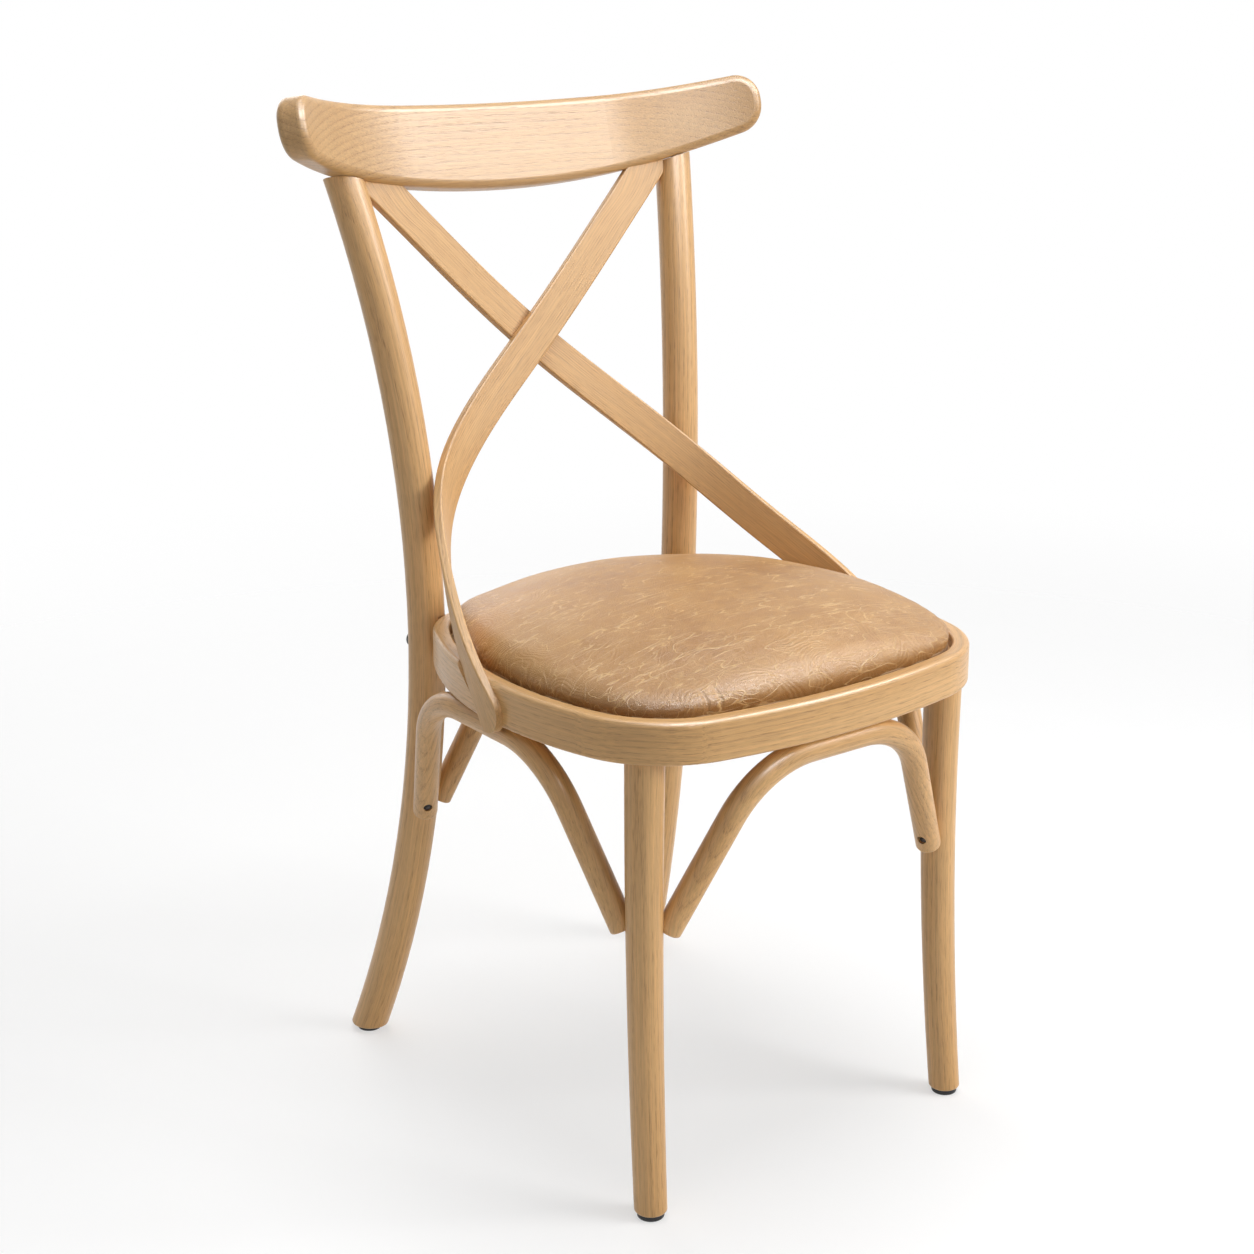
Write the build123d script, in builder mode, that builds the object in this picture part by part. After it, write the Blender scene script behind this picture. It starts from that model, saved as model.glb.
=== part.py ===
from build123d import *
import os
from math import asin, cos, radians, sin, sqrt, tan

# A bentwood cross-back chair. Millimetres, +Z up, the sitter faces -Y, left is -X.
# The origin is on the floor, under the middle of the chair.

os.makedirs("parts", exist_ok=True)

SIDES = {"left": -1, "right": 1}

# Clearances
fit = 0.15                      # around dowels, tenons, screws and straps in their seats
joint_gap = 0.2                 # between shaped faces that are glued or screwed together
height_tolerance = 1e-7

# Seat ring: its plan is four bowed edges with rounded corners
seat_width = 436.0
seat_depth = 409.0
seat_front = 249.1              # the front of the ring, ahead of the origin
widest_back = 177.0             # the widest place, behind the front of the ring
front_corner_in = 32.6          # where the front and side bows would meet without rounding
front_corner_back = 26.6
rear_corner_in = 70.6           # where the rear and side bows would meet without rounding
rear_corner_forward = 16.9
front_corner_radius = 100.0
rear_corner_radius = 85.0
ring_underside = 401.0
ring_height = 36.0
ring_wall = 34.0
ring_top_round = 4.5
ring_inner_round = 3.0
ring_bottom_round = 3.0
seat_lip = 15.0                 # the rim of the ring that shows around the pad
rebate_depth = 12.0

# Front legs
front_leg_top_diameter = 33.0
front_leg_foot_diameter = 28.0
front_leg_in = 48.8             # leg top, inside the ring's widest place
front_leg_back = 58.7           # leg top, behind the front of the ring
front_leg_bend_height = 165.0   # where the straight upper leg turns into the sabre foot
front_leg_bend_out = 1.8
front_leg_bend_forward = 4.7
front_foot_out = 6.0
front_foot_forward = 18.0
front_leg_sections = 7
tenon_diameter = 18.0
tenon_length = 18.0
foot_round = 2.5

# Back legs: one bent rod each, notched and bolted against the ring's rear corner
back_leg_diameter = 34.0
back_leg_angle = 58.5           # from the X axis, round the ring's rear corner
back_leg_notch = 2.0
back_foot_x = 174.5
back_foot_y = 233.9
foot_stub = 15.0                # extra length below the floor, cut off level

# Crest rail, described in its own leaning plane
crest_back = 228.9              # middle of the rail, behind the origin
crest_level = 851.0             # middle of the rail, above the floor
crest_lean = 15.1
crest_thickness = 26.0
crest_half_length = 260.0
crest_bow_radius = 1890.0       # plan curve in the middle of the rail
crest_bend_start = 110.0        # where the tighter curve towards the ends begins
crest_bend_radius = 245.0
crest_top_middle = 27.5         # top edge over the rail's middle
crest_top_end = 34.0
crest_bottom_middle = 49.7      # bottom edge under the rail's middle
crest_bottom_end = 17.0
crest_end_top_radius = 24.0
crest_end_bottom_radius = 26.0
crest_top_corner_share = 0.48   # how much of the end's height the corners may take up
crest_bottom_corner_share = 0.51
crest_edge_round = 7.0
post_half_spacing = 187.5       # back legs at the rail's underside
post_set_back = 10.0            # back legs behind the rail's middle plane
crest_dowel_diameter = 12.0
crest_dowel_length = 40.0

# Cross straps
strap_width = 34.0
strap_thickness = 8.0
strap_edge_round = 1.5
strap_sections = 17
strap_lean = 14.0               # lean of the surface that the straps lie in
strap_top_in = 20.0             # strap top, inside the back leg
strap_top_forward = 0.5         # strap top, ahead of the rail's middle
strap_mortise_depth = 12.0
strap_cross_gap = 0.6           # between the straps where they cross
cross_height = 671.0
cross_back = 186.9
strap_pass_height = 548.0       # where the strap passes in front of the back leg
strap_pass_in = 16.3
strap_pass_forward = 22.7
strap_bend_rise = 52.0          # the last bend, above the ring
strap_bend_in = 37.4            # the last bend, inside the ring's widest place
strap_bend_back = 314.3         # the last bend, behind the front of the ring
strap_foot_back = 216.3         # the foot, behind the front of the ring
strap_foot_rise = 10.0          # centre of the foot's round end, above the ring's underside
strap_foot_slope = 42.0         # steepness of the foot on the ring's side
strap_foot_housing = 3.0        # how deep the foot is let into the ring

# Arches between the legs, under the ring
arch_diameter = 22.5
arch_end_height = 248.0
arch_end_turn = 19.0            # arch ends stand off the legs turned to the outside
arch_slant = 25.5
arch_bend_radius = 83.0
arch_flat_share = 0.9           # how much of the top the bends may take up
arch_cope = 7.0                 # how deep the arch end is shaped round the leg
arch_top_in = 16.3              # arch top, inside the ring's outside
arch_end_round = 3.0

# Seat pad
seat_gap = 2.0                  # the dark line between the pad and the ring
cover_thickness = 1.5
board_thickness = 9.0
crown_top = 40.0                # middle of the pad above the ring
crown_rise = 18.5               # middle of the pad above its edge
crown_reach = 200.0             # half the width over which the crown rises
pad_edge_round = 17.0
pad_edge_share = 0.85           # how much of the pad's lowest corner the rounding may take up
cover_wrap = 12.0               # the cover's turned-under edge, inside the ring's opening
dust_cover_thickness = 0.8
dust_cover_gap = 2.0

# Feet
glide_diameter = 23.0
glide_height = 5.0
glide_round = 1.5
nail_diameter = 3.0
nail_length = 20.0
nail_head_diameter = 7.0
nail_head_height = 1.6
nail_recess = 1.0

# Fasteners
bolt_diameter = 6.0
bolt_height = 10.0              # above the ring's underside
bolt_head_diameter = 12.0
bolt_head_height = 3.2
bolt_end = 4.0                  # thread that stands past the nut
bolt_spot_depth = 1.2           # flat seat for the bolt head on the round leg
washer_diameter = 14.0
washer_thickness = 1.6
washer_spot_depth = 1.0         # flat seat for the washer in the hollow of the ring
nut_across_flats = 10.0
nut_height = 5.0
screw_diameter = 4.0
screw_head_diameter = 8.0
screw_head_height = 2.6
screw_slot_width = 1.0
screw_slot_depth = 1.2
screw_recess = 4.0              # how deep the heads lie in the wood
arch_screw_length = 32.0
arch_screw_rise = 12.0          # above the arch's lower end
arch_top_screw_length = 36.0
strap_screw_length = 30.0
strap_screw_bite = 5.0          # how far the foot screws reach into the strap
strap_screw_spread = 12.0
cross_screw_length = 12.0
seat_screw_length = 24.0
seat_screw_half_spacing = 95.0
staple_count = 14
staple_width = 10.0
staple_wire = 1.2
staple_leg = 7.0

# Levels and radii that follow from the sizes above
ring_top = ring_underside + ring_height
rebate_floor = ring_top - rebate_depth
seat_rear = seat_depth - seat_front
half_width = seat_width / 2
back_leg_radius = back_leg_diameter / 2
arch_radius = arch_diameter / 2
pad_inset = seat_lip + seat_gap
board_floor = rebate_floor + cover_thickness
board_top = board_floor + board_thickness
bolt_level = ring_underside + bolt_height
lean_up = Vector(0, sin(radians(strap_lean)), cos(radians(strap_lean)))


def ring_outline():
    """The outside of the ring in plan: four bows, rounded where they meet."""
    front_corner = (half_width - front_corner_in, front_corner_back - seat_front)
    rear_corner = (half_width - rear_corner_in, seat_rear - rear_corner_forward)
    widest = (half_width, widest_back - seat_front)
    mirrored = [(-x, y) for x, y in (front_corner, rear_corner, widest)]
    with BuildSketch() as outline:
        with BuildLine():
            ThreePointArc(mirrored[0], (0, -seat_front), front_corner)
            ThreePointArc(front_corner, widest, rear_corner)
            ThreePointArc(rear_corner, (0, seat_rear), mirrored[1])
            ThreePointArc(mirrored[1], mirrored[2], mirrored[0])
        make_face()
        fillet(outline.vertices().group_by(Axis.Y)[0], front_corner_radius)
        fillet(outline.vertices().group_by(Axis.Y)[-1], rear_corner_radius)
    return outline.sketch


ring_arcs = ring_outline().edges()


def seat_outline(inset):
    """The ring's outline, drawn in all round: each arc keeps its centre."""
    with BuildSketch() as outline:
        with BuildLine():
            for arc in ring_arcs:
                centre = arc.arc_center
                shrink = (arc.radius - inset) / arc.radius
                ThreePointArc(*[centre + (arc @ share - centre) * shrink for share in (0, 0.5, 1)])
        make_face()
    return outline.sketch


def seat_block(inset, floor, top):
    """A block with the seat's outline between two levels."""
    with BuildPart() as block:
        with BuildSketch(Plane.XY.offset(floor)):
            add(seat_outline(inset))
        extrude(amount=top - floor)
    return block.part


def on_outline(inset, toward):
    """The place on the inset outline that is nearest to a point in plan."""
    return seat_outline(inset).wire().closest_points(Vector(*toward))[0]


def crest_turn(x):
    """How far the crest rail has turned forward at a distance from its middle."""
    if x <= crest_bend_start:
        return asin(x / crest_bow_radius)
    return asin(crest_bend_start / crest_bow_radius + (x - crest_bend_start) / crest_bend_radius)


def crest_plan(x):
    """How far the crest rail curves forward at a distance from its middle."""
    bow_turn = crest_turn(min(x, crest_bend_start))
    bend = crest_bend_radius * (cos(bow_turn) - cos(crest_turn(x)))
    return crest_bow_radius * (1 - cos(bow_turn)) + bend


crest_end_height = crest_top_end + crest_bottom_end
crest_top_corner = min(crest_end_top_radius, crest_end_height * crest_top_corner_share)
crest_bottom_corner = min(crest_end_bottom_radius, crest_end_height * crest_bottom_corner_share)
crest_top_rise = crest_top_end - crest_top_middle
crest_bottom_rise = crest_bottom_middle - crest_bottom_end
crest_top_radius = (crest_half_length**2 + crest_top_rise**2) / (2 * crest_top_rise)
crest_bottom_radius = (crest_half_length**2 + crest_bottom_rise**2) / (2 * crest_bottom_rise)


def crest_top(x):
    """The crest rail's top edge, in the rail's own plane."""
    return crest_top_radius - sqrt(crest_top_radius**2 - x**2) + crest_top_middle


def crest_bottom(x):
    """The crest rail's bottom edge, in the rail's own plane."""
    return crest_bottom_radius - sqrt(crest_bottom_radius**2 - x**2) - crest_bottom_middle


def crest_point(x, set_back):
    """A point of the crest rail's plan, by its place along the rail and behind its middle."""
    turn = crest_turn(abs(x)) * (1 if x > 0 else -1)
    return (x + set_back * sin(turn), set_back * cos(turn) - crest_plan(abs(x)))


crest_up = Vector(0, sin(radians(crest_lean)), cos(radians(crest_lean)))
crest_plane = Plane((0, crest_back, crest_level), x_dir=(1, 0, 0), z_dir=crest_up)
crest_face = Plane((0, crest_back, crest_level), x_dir=(1, 0, 0), z_dir=-crest_plane.y_dir)


def under_crest(side, x, set_back, rise):
    """A point by its place along the crest rail, behind its middle and above its bottom edge."""
    return crest_plane.from_local_coords((side * x, set_back - crest_plan(x), crest_bottom(x) + rise))


# The ring's rear corner carries the back leg, so the leg stands off the corner's own centre
corner_arcs = ring_arcs.filter_by(lambda arc: abs(arc.radius - rear_corner_radius) < fit)
rear_corner_centre = corner_arcs.sort_by(Axis.X)[-1].arc_center
leg_direction = Vector(cos(radians(back_leg_angle)), sin(radians(back_leg_angle)), 0)
leg_stand_off = rear_corner_radius + back_leg_radius - back_leg_notch
leg_waist = rear_corner_centre + leg_direction * leg_stand_off


def sided(point, side):
    """A point of the right half, moved to the half that is asked for."""
    return Vector(side * point.X, point.Y, point.Z)


def back_leg_axis(side):
    """The back leg's centre line: one long arc through the foot, the ring and the crest rail."""
    with BuildLine() as axis:
        ThreePointArc(
            (side * back_foot_x, back_foot_y, 0),
            sided(leg_waist + Vector(0, 0, bolt_level), side),
            under_crest(side, post_half_spacing, post_set_back, back_leg_radius),
        )
    return axis.edge()


def back_leg_rod(side, grow):
    """The bent rod before it is cut, or grown as a tool that leaves room around it."""
    axis = back_leg_axis(side)
    with BuildPart() as rod:
        with BuildSketch(Plane(axis @ 0, z_dir=axis % 0)):
            Circle(back_leg_radius + grow)
        sweep(path=axis)
        extrude(rod.faces().sort_by(Axis.Z)[0], amount=foot_stub)
    return rod.part


def front_leg_axis(side):
    """The front leg's centre line: straight above, sweeping out and forward to the foot."""
    top_x = half_width - front_leg_in
    top_y = front_leg_back - seat_front
    with BuildLine() as axis:
        Spline(
            (side * (top_x + front_foot_out), top_y - front_foot_forward, 0),
            (
                side * (top_x + front_leg_bend_out),
                top_y - front_leg_bend_forward,
                front_leg_bend_height,
            ),
            (side * top_x, top_y, ring_underside),
        )
    return axis.edge()


def front_leg_rod(side, grow):
    """The tapered leg before its ends are cut, or grown as a tool that leaves room around it."""
    axis = front_leg_axis(side)
    taper = front_leg_top_diameter - front_leg_foot_diameter
    with BuildPart() as rod:
        for index in range(front_leg_sections):
            share = index / (front_leg_sections - 1)
            with BuildSketch(Plane(axis @ share, z_dir=axis % share)):
                Circle((front_leg_foot_diameter + taper * share) / 2 + grow)
        loft()
        extrude(rod.faces().sort_by(Axis.Z)[0], amount=foot_stub)
        extrude(rod.faces().sort_by(Axis.Z)[-1], amount=foot_stub)
    return rod.part


def axis_share(axis, height):
    """How far along a leg's centre line, from 0 to 1, it passes a height."""
    low, high = 0.0, 1.0
    while high - low > height_tolerance:
        middle = (low + high) / 2
        if (axis @ middle).Z < height:
            low = middle
        else:
            high = middle
    return low


def axis_at(axis, height):
    """The place of a leg's centre line at a height."""
    return axis @ axis_share(axis, height)


def strap_axis(side, lift):
    """A strap's centre line, from the far end of the crest rail to the ring on its own side."""
    top = under_crest(-side, post_half_spacing - strap_top_in, -strap_top_forward, strap_mortise_depth)
    cross = Vector(0, cross_back + lift, cross_height)
    leg = axis_at(back_leg_axis(side), strap_pass_height)
    passing = leg - Vector(side * strap_pass_in, strap_pass_forward, 0)
    bend = Vector(
        side * (half_width - strap_bend_in),
        strap_bend_back - seat_front,
        ring_top + strap_bend_rise,
    )
    foot, slide, _ = strap_foot(side)
    tail = foot + slide * strap_width
    with BuildLine() as axis:
        Spline(top, cross, passing, bend, foot, tail, tangents=(cross - top, slide))
    return axis.edge()


def strap_foot(side):
    """The centre of the strap's round end, its direction there and the way its face points."""
    stand_out = strap_thickness / 2 - strap_foot_housing
    y = strap_foot_back - seat_front
    here = on_outline(-stand_out, (side * seat_width, y))
    ahead = on_outline(-stand_out, (side * seat_width, y - strap_width))
    along = (ahead - here).normalized()
    slope = radians(strap_foot_slope)
    centre = here + Vector(0, 0, ring_underside + strap_foot_rise)
    slide = along * cos(slope) - Vector(0, 0, sin(slope))
    return centre, slide, Vector(side * -along.Y, side * along.X, 0)


def strap_body(side, lift, grow, stand_off):
    """A strap, bent along its centre line, or grown as a tool that is open on the strap's outside."""
    axis = strap_axis(side, lift)
    foot, slide, outward = strap_foot(side)
    with BuildPart() as strap:
        for index in range(strap_sections):
            share = index / (strap_sections - 1)
            across = (axis % share).cross(lean_up)
            with BuildSketch(Plane(axis @ share, x_dir=across, z_dir=axis % share)):
                with Locations((-side * stand_off / 2, 0)):
                    RectangleRounded(
                        strap_thickness + 2 * grow + stand_off,
                        strap_width + 2 * grow,
                        strap_edge_round,
                    )
        loft()
        with BuildSketch(Plane(foot, x_dir=slide, z_dir=outward)):
            Rectangle(3 * strap_width, 3 * strap_width, align=(Align.MIN, Align.CENTER))
            Circle(strap_width / 2 + grow, mode=Mode.SUBTRACT)
        extrude(amount=2 * strap_thickness, both=True, mode=Mode.SUBTRACT)
    return strap.part


def screw(length, grow):
    """A countersunk screw that points along -Z from its head, or a pocket for it."""
    radius = screw_diameter / 2 + grow
    with BuildPart() as body:
        with BuildSketch(Plane.XZ):
            with BuildLine():
                Polyline(
                    (0, 0),
                    (screw_head_diameter / 2 + grow, 0),
                    (radius, -screw_head_height),
                    (radius, radius - length - grow),
                    (0, -length - grow),
                    close=True,
                )
            make_face()
        revolve(axis=Axis.Z)
    return body.part


def screw_group(length, places):
    """The screws of one length, each on its own plane, with a slot across the head."""
    with BuildPart() as group:
        with Locations(*[place.location for place in places]):
            add(screw(length, 0))
            Box(screw_head_diameter, screw_slot_width, 2 * screw_slot_depth, mode=Mode.SUBTRACT)
    return group.part


def screw_pockets(length, places, recess):
    """Room for the screws, open behind their heads."""
    with BuildPart() as group:
        with Locations(*[place.location for place in places]):
            add(screw(length, fit))
            Cylinder(
                screw_head_diameter / 2 + fit,
                recess,
                align=(Align.CENTER, Align.CENTER, Align.MIN),
            )
    return group.part


def crest_seat(side):
    """The plane under the crest rail on which a back leg ends."""
    slope = asin(post_half_spacing / crest_bottom_radius)
    upward = crest_up * cos(slope) - Vector(side * sin(slope), 0, 0)
    return Plane(under_crest(side, post_half_spacing, post_set_back, -joint_gap), z_dir=upward)


def crest_dowel(side, grow):
    """The hidden dowel between a back leg and the crest rail."""
    middle = under_crest(side, post_half_spacing, post_set_back / 2, 0)
    with BuildPart() as dowel:
        with BuildSketch(Plane(middle, z_dir=crest_up)):
            Circle(crest_dowel_diameter / 2 + grow)
        extrude(amount=crest_dowel_length / 2 + grow, both=True)
    return dowel.part


def leg_line(side):
    """The way from the ring's rear corner out through the back leg."""
    return Vector(side * leg_direction.X, leg_direction.Y, 0)


def bolt_plane(side, reach):
    """A plane across a back leg's bolt, at a distance from the ring's rear corner centre."""
    start = sided(rear_corner_centre, side) + leg_line(side) * reach
    return Plane(start + Vector(0, 0, bolt_level), z_dir=leg_line(side))


bolt_head_seat = leg_stand_off + back_leg_radius - bolt_spot_depth
washer_seat = rear_corner_radius - ring_wall + washer_spot_depth
bolt_length = bolt_head_seat - washer_seat + washer_thickness + nut_height + bolt_end


def front_leg_radius(axis, height):
    """The front leg's radius at a height."""
    taper = front_leg_top_diameter - front_leg_foot_diameter
    return (front_leg_foot_diameter + taper * axis_share(axis, height)) / 2


def arch_end(axis, leg_radius, turn):
    """Where an arch ends beside a leg, turned round the leg from the X axis."""
    stand_off = leg_radius + arch_radius - arch_cope
    aside = Vector(cos(radians(turn)), sin(radians(turn)), 0)
    return axis_at(axis, arch_end_height) + aside * stand_off


def front_arch_end(side, turn):
    """Where an arch ends beside a front leg."""
    axis = front_leg_axis(side)
    return arch_end(axis, front_leg_radius(axis, arch_end_height), turn)


def rear_arch_end(side, turn):
    """Where an arch ends beside a back leg."""
    return arch_end(back_leg_axis(side), back_leg_radius, turn)


def arch_axis(start, end, toward):
    """An arch's centre line: slanted legs, a bend at each shoulder and a flat top under the ring."""
    top = on_outline(arch_top_in, toward) + Vector(0, 0, ring_underside - arch_radius - joint_gap)
    middle = (start + end) / 2
    along = (end - start).normalized()
    rise = top - middle
    upward = rise - along * rise.dot(along)
    half_span = (end - start).length / 2
    shoulder = half_span - upward.length * tan(radians(arch_slant))
    turn = radians(90 - arch_slant)
    bend_radius = min(arch_bend_radius, arch_flat_share * shoulder / tan(turn / 2))
    with BuildLine(Plane(middle, x_dir=along, z_dir=along.cross(upward))) as axis:
        FilletPolyline(
            (-half_span, 0),
            (-shoulder, upward.length),
            (shoulder, upward.length),
            (half_span, 0),
            radius=bend_radius,
        )
    return axis.wire()


arch_ends = {
    "front_arch": (
        front_arch_end(-1, -arch_end_turn),
        front_arch_end(1, 180 + arch_end_turn),
        (0, -seat_depth),
    ),
    "rear_arch": (rear_arch_end(-1, 0), rear_arch_end(1, 180), (0, seat_depth)),
}
for word, side in SIDES.items():
    front_end = front_arch_end(side, 90 - side * arch_end_turn)
    rear_end = rear_arch_end(side, side * arch_end_turn - 90)
    arch_ends[f"side_arch_{word}"] = (front_end, rear_end, (side * seat_width, (front_end + rear_end).Y / 2))
arch_axes = {name: arch_axis(*ends) for name, ends in arch_ends.items()}


def arch_screw_places(axis):
    """The planes of an arch's end screws, which point from the arch into the legs."""
    places = []
    legs = [front_leg_axis(side) for side in SIDES.values()]
    legs += [back_leg_axis(side) for side in SIDES.values()]
    for share in (arch_screw_rise / axis.length, 1 - arch_screw_rise / axis.length):
        start = axis @ share
        centres = [axis_at(leg, start.Z) for leg in legs]
        leg_centre = min(centres, key=lambda centre: (centre - start).length)
        into_leg = (leg_centre - start).normalized()
        places.append(Plane(start - into_leg * (arch_radius - screw_recess), z_dir=-into_leg))
    return places


def arch_top_place(axis):
    """The plane of an arch's top screw, which points up into the ring."""
    head = (axis @ 0.5) - Vector(0, 0, arch_radius - screw_recess)
    return Plane(head, x_dir=(1, 0, 0), z_dir=(0, 0, -1))


arch_end_places = [place for axis in arch_axes.values() for place in arch_screw_places(axis)]
arch_top_places = [arch_top_place(axis) for axis in arch_axes.values()]
arch_end_pockets = screw_pockets(arch_screw_length, arch_end_places, arch_diameter)
arch_top_pockets = screw_pockets(arch_top_screw_length, arch_top_places, arch_diameter)

# The strap that runs down to the left lies in front where the two cross
strap_lift = (strap_thickness + strap_cross_gap) / 2 / cos(radians(strap_lean))
straps = {"cross_strap_front": (-1, -strap_lift), "cross_strap_rear": (1, strap_lift)}
strap_rooms = [strap_body(side, lift, fit, 0) for side, lift in straps.values()]
strap_seats = [strap_body(side, lift, fit, strap_thickness) for side, lift in straps.values()]


def strap_screw_places():
    """The planes of the screws that hold the strap feet from inside the ring."""
    places = []
    for side in SIDES.values():
        foot, slide, outward = strap_foot(side)
        for step in (-strap_screw_spread, 0):
            tip = foot + slide * step + outward * (strap_screw_bite - strap_thickness / 2)
            places.append(Plane(tip - outward * strap_screw_length, z_dir=-outward))
    return places


strap_places = strap_screw_places()
strap_pockets = screw_pockets(strap_screw_length, strap_places, ring_wall)

cross_normal = Vector(0, cos(radians(strap_lean)), -sin(radians(strap_lean)))
cross_head = Vector(0, cross_back, cross_height) + cross_normal * (strap_thickness + strap_cross_gap / 2)
cross_places = [Plane(cross_head, x_dir=(1, 0, 0), z_dir=cross_normal)]
cross_pockets = screw_pockets(cross_screw_length, cross_places, strap_thickness)

seat_screw_inset = (seat_lip + ring_wall) / 2
seat_places = []
for x in (-seat_screw_half_spacing, seat_screw_half_spacing):
    for y in (-seat_depth, seat_depth):
        place = on_outline(seat_screw_inset, (x, y))
        head = place + Vector(0, 0, board_floor + board_thickness / 2 - seat_screw_length)
        seat_places.append(Plane(head, x_dir=(1, 0, 0), z_dir=(0, 0, -1)))
seat_pockets = screw_pockets(seat_screw_length, seat_places, ring_height)

feet = {}
for word, side in SIDES.items():
    feet[f"front_{word}"] = axis_at(front_leg_axis(side), glide_height)
    feet[f"rear_{word}"] = axis_at(back_leg_axis(side), glide_height)


def glide_nail(foot, grow):
    """The nail through a glide, or room for it."""
    head = Vector(foot.X, foot.Y, nail_recess)
    with BuildPart() as nail:
        with BuildSketch(Plane(head)):
            Circle(nail_head_diameter / 2 + grow)
        extrude(amount=nail_head_height + grow)
        with BuildSketch(Plane(head)):
            Circle(nail_diameter / 2 + grow)
        extrude(amount=nail_length + grow)
    return nail.part


def level_edges(body, height):
    """The edges of a piece that lie at one height."""
    return body.edges().filter_by_position(Axis.Z, height - fit, height + fit)


crest_bend = (crest_bend_start, (crest_bend_start + crest_half_length) / 2, crest_half_length)
crest_bow = (-crest_bend_start, 0, crest_bend_start)
crest_beyond = crest_half_length + crest_thickness

with BuildPart() as crest_rail:
    with BuildSketch(crest_plane):
        with BuildLine():
            for set_back in (-crest_thickness / 2, crest_thickness / 2):
                ThreePointArc(*[crest_point(-x, set_back) for x in crest_bend])
                ThreePointArc(*[crest_point(x, set_back) for x in crest_bow])
                ThreePointArc(*[crest_point(x, set_back) for x in crest_bend])
            for x in (-crest_half_length, crest_half_length):
                Line(crest_point(x, -crest_thickness / 2), crest_point(x, crest_thickness / 2))
        make_face()
    extrude(amount=crest_half_length, both=True)
    with BuildSketch(crest_face):
        with BuildLine():
            upper = ThreePointArc(*[(x, crest_top(x)) for x in (-crest_beyond, 0, crest_beyond)])
            lower = ThreePointArc(*[(x, crest_bottom(x)) for x in (-crest_beyond, 0, crest_beyond)])
            Line(upper @ 0, lower @ 0)
            Line(upper @ 1, lower @ 1)
        make_face()
    extrude(amount=crest_half_length, both=True, mode=Mode.INTERSECT)
    ends = crest_rail.faces().filter_by(GeomType.PLANE)
    fillet([end.edges().sort_by(Axis.Z)[-1] for end in ends], crest_top_corner)
    ends = crest_rail.faces().filter_by(GeomType.PLANE)
    fillet([end.edges().sort_by(Axis.Z)[0] for end in ends], crest_bottom_corner)
    fillet(crest_rail.edges().filter_by(GeomType.LINE, reverse=True), crest_edge_round)
    add(strap_rooms, mode=Mode.SUBTRACT)
    for side in SIDES.values():
        add(crest_dowel(side, fit), mode=Mode.SUBTRACT)
crest_rail.part.label = "crest_rail"
export_step(crest_rail.part, "parts/crest_rail.step")

with BuildPart() as crest_dowels:
    for side in SIDES.values():
        add(crest_dowel(side, 0))
crest_dowels.part.label = "crest_dowels"
export_step(crest_dowels.part, "parts/crest_dowels.step")

for name, (side, lift) in straps.items():
    with BuildPart() as strap:
        add(strap_body(side, lift, 0, 0))
        add(back_leg_rod(-side, joint_gap), mode=Mode.SUBTRACT)
        if lift > 0:
            add(strap_rooms[0], mode=Mode.SUBTRACT)
        add(strap_pockets, mode=Mode.SUBTRACT)
        add(cross_pockets, mode=Mode.SUBTRACT)
    strap.part.label = name
    export_step(strap.part, f"parts/{name}.step")

with BuildPart() as seat_ring:
    add(seat_block(0, ring_underside, ring_top))
    add(seat_block(ring_wall, ring_underside, ring_top), mode=Mode.SUBTRACT)
    add(seat_block(seat_lip, rebate_floor, ring_top), mode=Mode.SUBTRACT)
    rim = seat_ring.faces().sort_by(Axis.Z)[-1]
    fillet(rim.outer_wire().edges(), ring_top_round)
    rim = seat_ring.faces().sort_by(Axis.Z)[-1]
    fillet(rim.inner_wires()[0].edges(), ring_inner_round)
    underside = seat_ring.faces().sort_by(Axis.Z)[0]
    fillet(underside.edges(), ring_bottom_round)
    for side in SIDES.values():
        top = front_leg_axis(side) @ 1
        with Locations((top.X, top.Y, ring_underside)):
            Cylinder(
                tenon_diameter / 2 + fit,
                2 * (tenon_length + fit),
                mode=Mode.SUBTRACT,
            )
        with BuildSketch(bolt_plane(side, 0)):
            Circle(bolt_diameter / 2 + fit)
        extrude(amount=bolt_head_seat, mode=Mode.SUBTRACT)
        with BuildSketch(bolt_plane(side, 0)):
            Circle(washer_diameter / 2 + fit)
        extrude(amount=washer_seat, mode=Mode.SUBTRACT)
    add(strap_seats, mode=Mode.SUBTRACT)
    add(strap_pockets, mode=Mode.SUBTRACT)
    add(arch_top_pockets, mode=Mode.SUBTRACT)
    add(seat_pockets, mode=Mode.SUBTRACT)
seat_ring.part.label = "seat_ring"
export_step(seat_ring.part, "parts/seat_ring.step")

for word, side in SIDES.items():
    with BuildPart() as front_leg:
        add(front_leg_rod(side, 0))
        split(bisect_by=Plane.XY.offset(glide_height), keep=Keep.TOP)
        split(bisect_by=Plane.XY.offset(ring_underside), keep=Keep.BOTTOM)
        fillet(level_edges(front_leg, glide_height), foot_round)
        top = front_leg_axis(side) @ 1
        with Locations((top.X, top.Y, ring_underside)):
            Cylinder(tenon_diameter / 2, tenon_length, align=(Align.CENTER, Align.CENTER, Align.MIN))
        add(arch_end_pockets, mode=Mode.SUBTRACT)
        add(glide_nail(feet[f"front_{word}"], fit), mode=Mode.SUBTRACT)
    front_leg.part.label = f"front_leg_{word}"
    export_step(front_leg.part, f"parts/front_leg_{word}.step")

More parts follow.
